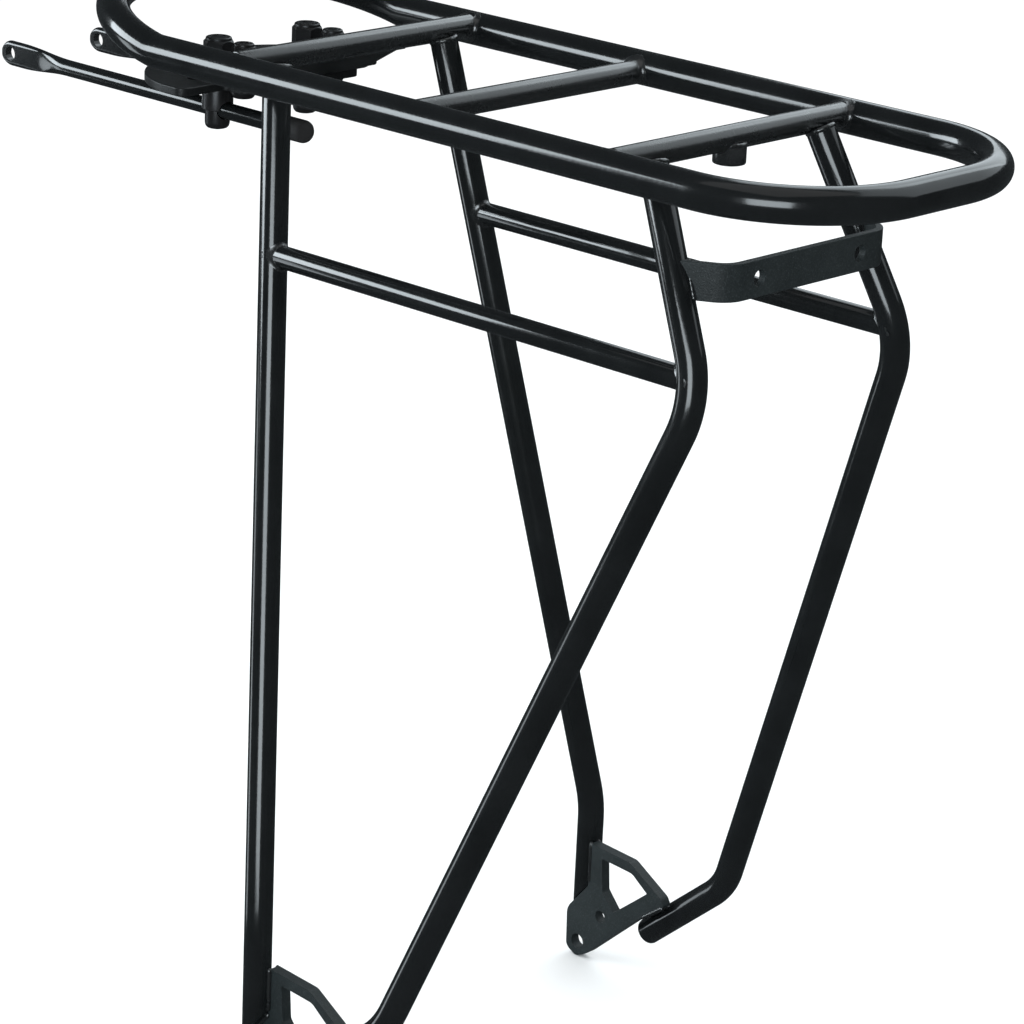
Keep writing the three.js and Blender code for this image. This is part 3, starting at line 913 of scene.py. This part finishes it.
class RACK_OT_boss(RackStep, Operator):
    """Turn the threaded boss under the rear cross tube"""

    bl_idname = "rack.boss"
    bl_label = "Mudguard Boss"

    def build(self, sizes):
        at, _ = stand_of("mudguard_boss")
        floor, top = 4.2, BOSS_TOP
        threads = [(2.5 + 0.22 * (k % 2), 0.5 + 0.35 * k) for k in range(10)]
        profile = [(0, floor), (2.3, floor)] + threads[::-1] + [
            (2.9, 0), (4.9, 0), (5.3, 0.15), (BOSS_RADIUS, 0.5), (BOSS_RADIUS, top), (0, top)]
        piece("boss", turned_body(profile, at, steps=64), "frame", "gloss", ["mudguard_boss"])


def slot_cutter(x, y_in, y_out, side, low, high):
    """A closed cutter for one slot across the plate."""
    y0, y1 = sorted((y_in * side, y_out * side))
    bm = bmesh.new()
    first = bmesh.ops.create_circle(bm, cap_ends=False, segments=48, radius=SLOT_HALF * MM,
                                    matrix=Matrix.Translation(mm(x, y0, 0)))["verts"]
    far = [v for v in first if v.co.y > y0 * MM - 1e-7]
    bmesh.ops.translate(bm, verts=far, vec=mm(0, y1 - y0, 0))
    bmesh.ops.edgeloop_fill(bm, edges=bm.edges[:])
    bmesh.ops.translate(bm, verts=bm.verts, vec=(0, 0, low))
    thicken(bm, (0, 0, high - low))
    return bm


class RACK_OT_stay_plate(RackStep, Operator):
    """Cut the slotted half-elliptic plate and bend the strap that hangs it"""

    bl_idname = "rack.stay_plate"
    bl_label = "Stay Plate and Hanger"

    def build(self, sizes):
        low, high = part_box("stay_plate")
        # The half ellipse in front, the steps at its ends and the tongue behind, in millimetres.
        centre, half, reach = 95.8, 48.7, 41.0
        back, step, tongue = 79.3, 89.8, 28
        turns = [math.radians(turn) for turn in range(-84, 85, 4)]
        front = [((centre + reach * math.cos(t), half * math.sin(t)), 0) for t in turns]
        outline = [((back, tongue), 5), ((back, -tongue), 5), ((step, -tongue), 4),
                   ((step, 0.1 - half), 6)]
        outline += front + [((step, half - 0.1), 6), ((step, tongue), 4)]
        plate = outline_body(outline, Matrix.Translation((0, 0, low.z)), high.z - low.z)
        clear = 3 * MM
        tools = []
        for side in SIDES.values():
            slot_from, slot_to = STAY_Y - 3.5, STAY_Y + 10
            tools.append(slot_cutter(SLOT_X, slot_from, slot_to, side, low.z - clear, high.z + clear))
            at = mm(BOLT_X, STAY_Y * side, 0)
            tools.append(pin(at + Z_AXIS * (low.z - clear), at + Z_AXIS * (high.z + clear), BOLT_HOLE * MM))
        piece("slotted_plate", carve(plate, tools), "frame", "dark plate", ["stay_plate"],
              sizes.plate_edge)

        width, thickness, gap = 54, 3, 0.3
        z = high.z / MM + gap + thickness / 2
        line = [((56.6, 0, 347.1), 0), ((77, 0, z), 8), ((93.3, 0, z), 0)]
        strap = bent_strap(line, Y_AXIS, width * MM, thickness * MM)
        centres = [mm(BOLT_X, STAY_Y * side, z) for side in SIDES.values()]
        reach = Z_AXIS * 6 * MM
        strap = carve(strap, [pin(at - reach, at + reach, BOLT_HOLE * MM) for at in centres])
        piece("hanger_strap", strap, "frame", "dark plate", ["plate_hanger"], edge=0.25 * MM)


def lock_nut(node, axis, across_flats, hex_height, bore):
    """A hexagon nut with chamfered corners, a flat-topped collar and a ring set into its top."""
    at, height = stand_of(node, axis)
    corner, flat = across_flats / math.sqrt(3), across_flats / 2
    barrel = turned_body(
        [(0, -0.01), (flat - 0.1, -0.01), (corner + 0.05, 0.75), (corner + 0.05, hex_height - 1.0),
         (flat - 0.15, hex_height + 0.01), (0, hex_height + 0.01)], at, steps=72)
    nut = carve(hexagon_body(at, corner, hex_height), [barrel], "INTERSECT")
    rim = flat - 0.3
    collar = turned_body(
        [(0, 1), (rim, 1), (rim, height - 0.7), (rim - 0.15, height - 0.25), (rim - 0.55, height),
         (rim - 1.1, height), (rim - 1.25, height - 0.5), (rim - 1.6, height - 0.55),
         (rim - 1.75, height - 0.3), (0, height - 0.3)], at, steps=72)
    nut = carve(nut, [collar], "UNION")
    return carve(nut, [pin(at - mm(0, 0, 1), at + mm(0, 0, height - 2), bore * MM)])


class RACK_OT_plate_fasteners(RackStep, Operator):
    """Make the bolts and nuts that hold the plate to its strap"""

    bl_idname = "rack.plate_fasteners"
    bl_label = "Plate Fasteners"

    def build(self, sizes):
        for name in SIDES:
            axis = node = f"plate_bolt_{name}"
            at, top = stand_of(node)
            profile = [(0, 0), (2.9, 0), (3.5, 0.15), (4.1, 0.8), (4.4, 1.7), (4.4, 2.55), (4.25, 2.7),
                       (2.45, 2.7), (2.45, top), (0, top)]
            socket = hexagon_body(at - mm(0, 0, 1), 1.75, 2.6)
            bolt = carve(turned_body(profile, at), [socket])
            piece(f"button_bolt_{name}", bolt, "frame", "steel", [node], edge=0.15 * MM)
            node = f"plate_nut_{name}"
            nut = lock_nut(node, axis, 8, 9.0, BOLT_HOLE)
            piece(f"small_cap_nut_{name}", nut, "frame", "steel", [node], edge=0.2 * MM)


class RACK_OT_stay_fasteners(RackStep, Operator):
    """Make the eye bolts, collars, washers and nuts that clamp the stays"""

    bl_idname = "rack.stay_fasteners"
    bl_label = "Stay Fasteners"

    def build(self, sizes):
        stay_z = middle("stay_rod_left").z
        reach = X_AXIS * 10 * MM
        for name in SIDES:
            clamp, slider = f"stay_clamp_{name}", f"slot_slider_{name}"
            axis = node = f"stay_eye_bolt_{name}"
            at, top = stand_of(node)
            eye_at = Vector((at.x, at.y, stay_z))
            threads = [(3.0 - 0.3 * (k % 2), 13.6 + 0.5 * k) for k in range(int((top - 14.4) / 0.5))]
            eye = turned_body(
                [(0, 0), (2.9, 0), (3.6, 0.25), (4.2, 0.9), (4.45, 1.8), (4.5, 2.4), (4.5, 11.7),
                 (4.35, 12.2), (3.9, 12.4), (3, 12.4), (3, 13.4)] + threads + [(2.5, top), (0, top)], at)
            eye = carve(eye, [pin(eye_at - reach, eye_at + reach, STAY_BORE * MM)])
            piece(f"eye_bolt_{name}", eye, clamp, "steel", [node])

            node = f"stay_collar_{name}"
            at, top = stand_of(node, axis)
            collar = turned_body(
                [(4.8, 0), (5.35, 0), (5.6, 0.3), (5.6, top - 0.6), (5.45, top - 0.15), (5.1, top),
                 (3.3, top), (3.3, top - 2.2), (4.8, top - 2.2)], at, steps=64)
            collar = carve(collar, [pin(eye_at - reach, eye_at + reach, STAY_BORE * MM)])
            piece(f"collar_{name}", collar, clamp, "steel", [node])

            node = f"stay_washer_{name}"
            at, top = stand_of(node, axis)
            washer = turned_body(
                [(3.3, 0.12), (3.42, 0), (5.85, 0), (6, 0.2), (6, top - 0.3), (5.93, top - 0.1),
                 (5.75, top), (3.42, top), (3.3, top - 0.12)], at, steps=64)
            piece(f"washer_{name}", washer, slider, "steel", [node])

            node = f"stay_cap_nut_{name}"
            nut = lock_nut(node, axis, 10, 10.4, STAY_BORE)
            piece(f"cap_nut_{name}", nut, slider, "steel", [node], edge=0.2 * MM)


def tip_stations(tip):
    """Sections from a stay's round part to its tip: place in millimetres, and how tall and how
    thick each is beside the round rod."""
    tall, thick = TIP_HALF / ROD_RADIUS, 0.467
    stations = [(172, 1, 1), (178, 1, 1)]
    for k in range(1, 17):
        t = k / 16
        ease = t * t * (3 - 2 * t)
        stations.append((PRESS_START + PRESS_LENGTH * t, 1 + (tall - 1) * ease, 1 - (1 - thick) * ease))
    for k in range(17):
        turn = k * math.pi / 2 / 16.8
        blunt = math.cos(turn) ** 0.65
        stations.append((tip - TIP_HALF + TIP_HALF * math.sin(turn), tall * blunt, thick))
    return stations


def stay_rod(low, high, y, z):
    """A round rod whose front end is pressed flat, rounded and drilled."""
    bm = bmesh.new()
    rim = tube_section(bm, Vector((low.x, y, z)), X_AXIS, ROD_RADIUS * MM, 48)
    bmesh.ops.edgeloop_fill(bm, edges=rim)
    ring, here, tall, thick = rim, low.x / MM, 1.0, 1.0
    for x, next_tall, next_thick in tip_stations(high.x / MM):
        ring, fresh = push_ring(bm, ring, mm(x - here, 0, 0))
        bmesh.ops.scale(bm, verts=fresh, vec=(1, next_thick / thick, next_tall / tall),
                        space=Matrix.Translation((0, -y, -z)))
        here, tall, thick = x, next_tall, next_thick
    bmesh.ops.edgeloop_fill(bm, edges=ring)
    # The pressed part's sides are squared up to flat faces.
    limit = TIP_FLAT * MM
    for vert in bm.verts:
        ease = min(1.0, (vert.co.x / MM - SQUARE_START) / SQUARE_LENGTH)
        if ease > 0:
            depth = vert.co.y - y
            squared = max(-limit, min(limit, depth * (1 + 0.5 * ease)))
            vert.co.y = y + depth + (squared - depth) * ease
    rounded_edges(bm, rim, 0.5 * MM)
    bmesh.ops.recalc_face_normals(bm, faces=bm.faces)
    hole_at, reach = Vector((high.x - TIP_HALF * MM, y, z)), Y_AXIS * 4 * MM
    return carve(bm, [pin(hole_at - reach, hole_at + reach, 2.65 * MM)])


class RACK_OT_stays(RackStep, Operator):
    """Draw the stay rods, flatten and drill their tips, and fit the end caps"""

    bl_idname = "rack.stays"
    bl_label = "Stays and End Caps"

    def build(self, sizes):
        for name in SIDES:
            node = f"stay_rod_{name}"
            rod_low, rod_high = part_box(node)
            _, y, z = middle(node)
            piece(f"stay_{name}", stay_rod(rod_low, rod_high, y, z), f"stay_{name}", "gloss", [node])

            node = f"stay_end_cap_{name}"
            low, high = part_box(node)
            length, inner = (high.x - low.x) / MM, (rod_low.x - low.x) / MM - 0.3
            r, bore = 4.1, 3.3
            profile = [
                (0, 0), (0.3 * r, 0.08), (0.55 * r, 0.3), (0.75 * r, 0.75), (0.9 * r, 1.5), (0.98 * r, 2.4),
                (r, 3.2), (r, length - 2.2), (r - 0.18, length - 2.1), (r - 0.18, length - 1.7),
                (r, length - 1.6), (r, length - 0.5), (r - 0.15, length - 0.1), (r - 0.4, length),
                (bore, length), (bore, inner), (0, inner)]
            cap = turned_body(profile, Vector((low.x, y, z)), X_AXIS, steps=56)
            piece(f"end_cap_{name}", cap, f"stay_cap_{name}", "rubber", [node])


def platform_welds(bm, sizes):
    """Cross tubes to the hoop, on both sides."""
    flare, radius = 1.7 * MM, sizes.cross_radius + WELD_SKIN
    section = fillet_section(radius / MM, flare / MM)
    for place in ("front", "middle", "rear"):
        x, _, z = middle(f"cross_tube_{place}")
        for side in SIDES.values():
            inward = Y_AXIS * -side
            foot = Vector((x, HOOP_Y * MM * side, z))
            wall = tube_wall(inward, mm(0, HOOP_Y * side, HOOP_Z), X_AXIS, sizes.hoop_radius)
            ring_weld(bm, foot, inward, radius, section, wall, flare)


def leg_top_welds(bm, sizes, side):
    """Leg tops under the cross tubes."""
    thick = sizes.bead
    radius = sizes.leg_radius - thick * 0.7
    section = round_section(radius / MM, thick / MM)
    for line, place in ((FRONT_LEG_LINE, "front"), (REAR_LEG_LINE, "rear")):
        top, down = first_run(mirror_points(line, side))
        under = tube_wall(down, middle(f"cross_tube_{place}"), Y_AXIS, sizes.cross_radius)
        ring_weld(bm, top, down, radius, section, under, least=0.0)


def rail_welds(bm, sizes, side):
    """Lower rails between the legs."""
    flare, radius = sizes.bead * 1.2, sizes.rail_radius + WELD_SKIN
    section = fillet_section(radius / MM, flare / MM)
    lines = [mirror_points(line, side) for line in (REAR_LEG_LINE, FRONT_LEG_LINE)]
    ends = [crossing(line, RAIL_Z) * MM for line in lines]
    for foot, far, line in zip(ends, ends[::-1], lines):
        away = (far - foot).normalized()
        wall = tube_wall(away, foot, first_run(line)[1], sizes.leg_radius)
        ring_weld(bm, foot, away, radius, section, wall, flare)


def dropout_welds(bm, sizes, side):
    """Dropout plate to both feet, on both faces, and along the front leg's shoulder."""
    seams = [(seam, y) for y in PLATE_SEAM_YS for seam in PLATE_SEAMS]
    for ((x0, z0), (x1, z1)), y in seams + [(SHOULDER_SEAM, SHOULDER_SEAM_Y)]:
        seam_bead(bm, mm(x0, y * side, z0), mm(x1, y * side, z1), sizes.bead)


def lamp_welds(bm, sizes, side):
    """Lamp strap to the rear leg, inside and outside of the bend."""
    low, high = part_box("light_bracket")
    for inset in (-1.5, 1.5):
        tips = []
        for z in (low.z / MM + 0.4, high.z / MM - 0.4):
            leg = crossing(mirror_points(REAR_LEG_LINE, side), z)
            tips.append(mm(leg.x - 4.5 - 0.49 * inset, leg.y - (2.5 - 0.87 * inset) * side, z))
        seam_bead(bm, tips[0], tips[1], sizes.bead * 0.8)


def boss_weld(bm, sizes):
    """Boss to the rear cross tube."""
    tube = middle("cross_tube_rear")
    rim = Vector((tube.x, 0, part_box("mudguard_boss")[0].z + BOSS_TOP * MM))
    wall = tube_wall(-Z_AXIS, tube, Y_AXIS, sizes.cross_radius)
    radius = BOSS_RADIUS * MM - sizes.bead * 0.8
    section = round_section(radius / MM, sizes.bead / MM)
    ring_weld(bm, rim, -Z_AXIS, radius, section, wall, least=0.0)


class RACK_OT_welds(RackStep, Operator):
    """Lay the weld beads that join the tubes, legs and plates"""

    bl_idname = "rack.welds"
    bl_label = "Weld Beads"

    def build(self, sizes):
        bm = bmesh.new()
        platform_welds(bm, sizes)
        for side in SIDES.values():
            leg_top_welds(bm, sizes, side)
            rail_welds(bm, sizes, side)
            dropout_welds(bm, sizes, side)
            lamp_welds(bm, sizes, side)
        # Hanger strap to the front cross tube, above and below.
        for x, z in ((57.2, 348.7), (55.4, 345.7)):
            seam_bead(bm, mm(x, -26.6, z), mm(x, 26.6, z), sizes.bead)
        boss_weld(bm, sizes)
        piece("weld_beads", bm, "frame", "cross", [])


# --------------------------------------------------------------------- stage


def soft_light(name, place, width, height, power, colour):
    data = bpy.data.lights.new(name, "AREA")
    data.shape, data.size, data.size_y = "RECTANGLE", width, height
    data.energy, data.color = power, colour
    lamp = bpy.data.objects.new(name, data)
    lamp.location = place
    lamp.rotation_mode = "QUATERNION"
    lamp.rotation_quaternion = (LIGHTS_AIM - Vector(place)).to_track_quat("-Z", "Y")
    lamp.visible_camera = False
    bpy.context.scene.collection.objects.link(lamp)


def studio_world():
    """White surroundings for the floor and the eye, and a dim room for reflections."""
    world = bpy.data.worlds.new("studio")
    world.use_nodes = True
    tree = world.node_tree
    tree.nodes.clear()
    path = add(tree, "ShaderNodeLightPath", -600, 200)
    pale = add(tree, "ShaderNodeBackground", -200, 200, sockets={"Color": WHITE, "Strength": 1.0})
    dim = add(tree, "ShaderNodeBackground", -200, 0, sockets={
        "Color": (0.75, 0.86, 0.92, 1), "Strength": 0.05})
    mix = add(tree, "ShaderNodeMixShader", 100, 100, sockets={
        0: path.outputs["Is Glossy Ray"], 1: pale.outputs[0], 2: dim.outputs[0]})
    output = add(tree, "ShaderNodeOutputWorld", 300, 100)
    tree.links.new(mix.outputs[0], output.inputs["Surface"])
    bpy.context.scene.world = world


def floor_material(colour):
    """Pale floor that fades into the white surroundings with distance."""
    material, tree, shader, where = blank_material("studio_floor", {"Roughness": 0.9})
    speck = noise(tree, where, 30.0, 3.0, 0.5, -500, 200)
    shade = tint(tree, speck, scaled(colour, 0.985), list(colour), -200, 200)
    tree.links.new(shade, shader.inputs["Base Color"])
    reach = add(tree, "ShaderNodeVectorMath", -500, -200, operation="LENGTH", sockets={0: where})
    fade = spread(tree, reach.outputs["Value"], 0.5, 2.2, 0.0, 1.0, -200, -200)
    glow = add(tree, "ShaderNodeEmission", 500, -300, sockets={"Color": WHITE, "Strength": 1.0})
    blend = add(tree, "ShaderNodeMixShader", 750, -100, sockets={
        0: fade, 1: shader.outputs[0], 2: glow.outputs[0]})
    output = next(n for n in tree.nodes if n.type == "OUTPUT_MATERIAL")
    tree.links.new(blend.outputs[0], output.inputs["Surface"])
    return material


def studio_camera():
    """The camera, turned by its azimuth, elevation and roll."""
    data = bpy.data.cameras.new("camera")
    data.lens, data.sensor_width = 133.34, 36.0
    data.shift_x, data.shift_y = -0.0018, 0.0060
    data.clip_start, data.clip_end = 0.05, 60.0
    camera = bpy.data.objects.new("camera", data)
    azimuth, elevation, roll = (math.radians(angle) for angle in CAMERA_TURN)
    right = Vector((math.cos(azimuth), math.sin(azimuth), 0))
    back = Vector((math.sin(azimuth) * math.cos(elevation), -math.cos(azimuth) * math.cos(elevation),
                   math.sin(elevation)))
    up = back.cross(right)
    level, lean = math.cos(roll), math.sin(roll)
    columns = (right * level + up * lean, up * level - right * lean, back)
    turn = Matrix(columns).transposed().to_4x4()
    camera.matrix_world = Matrix.Translation(CAMERA_AT) @ turn
    return camera


class RACK_OT_stage(RackStep, Operator):
    """Set the pale floor, the soft studio lights and the camera"""

    bl_idname = "rack.stage"
    bl_label = "Studio Stage"

    def build(self, sizes):
        scene = bpy.context.scene
        ground = CAD_BOX[0][2] - 0.4 * MM
        bm = bmesh.new()
        bmesh.ops.create_circle(bm, cap_ends=True, segments=96, radius=12.0,
                                matrix=Matrix.Translation((0, 0, ground)))
        mesh = bpy.data.meshes.new("floor")
        bm.to_mesh(mesh)
        bm.free()
        floor = bpy.data.objects.new("floor", mesh)
        mesh.materials.append(floor_material(scene.rack_finish.floor))
        scene.collection.objects.link(floor)
        floor.visible_glossy = False
        floor.visible_shadow = False

        studio_world()
        for light in LIGHTS:
            soft_light(*light)
        scene.camera = studio_camera()
        scene.collection.objects.link(scene.camera)
        scene.view_settings.view_transform = "Standard"


# --------------------------------------------------------------------- panel


PIECES = (
    RACK_OT_hoop, RACK_OT_cross_tubes, RACK_OT_legs, RACK_OT_lower_rails, RACK_OT_dropouts,
    RACK_OT_lamp_bracket, RACK_OT_boss, RACK_OT_stay_plate, RACK_OT_plate_fasteners,
    RACK_OT_stay_fasteners, RACK_OT_stays, RACK_OT_welds,
)


class RACK_PT_panel(Panel):
    """Sizes, colours and pieces of the rack"""

    bl_idname = "RACK_PT_panel"
    bl_label = "Rear Rack"
    bl_space_type = "VIEW_3D"
    bl_region_type = "UI"
    bl_category = "Rear Rack"

    def draw(self, context):
        layout = self.layout
        for settings in (context.scene.rack_sizes, context.scene.rack_finish):
            box = layout.box()
            for name in settings.__annotations__:
                box.prop(settings, name)
        column = layout.column(align=True)
        for operator in PIECES + (RACK_OT_stage,):
            column.operator(operator.bl_idname)


CLASSES = (RackSizes, RackFinish) + PIECES + (RACK_OT_stage, RACK_PT_panel)


def register():
    for cls in CLASSES:
        bpy.utils.register_class(cls)
    bpy.types.Scene.rack_sizes = PointerProperty(type=RackSizes)
    bpy.types.Scene.rack_finish = PointerProperty(type=RackFinish)


def unregister():
    del bpy.types.Scene.rack_finish
    del bpy.types.Scene.rack_sizes
    for cls in reversed(CLASSES):
        bpy.utils.unregister_class(cls)


def main():
    register()
    bpy.ops.rack.stage()
    bpy.ops.rack.hoop()
    bpy.ops.rack.cross_tubes()
    bpy.ops.rack.legs()
    bpy.ops.rack.lower_rails()
    bpy.ops.rack.dropouts()
    bpy.ops.rack.lamp_bracket()
    bpy.ops.rack.boss()
    bpy.ops.rack.stay_plate()
    bpy.ops.rack.plate_fasteners()
    bpy.ops.rack.stay_fasteners()
    bpy.ops.rack.stays()
    bpy.ops.rack.welds()


if __name__ == "__main__":
    main()
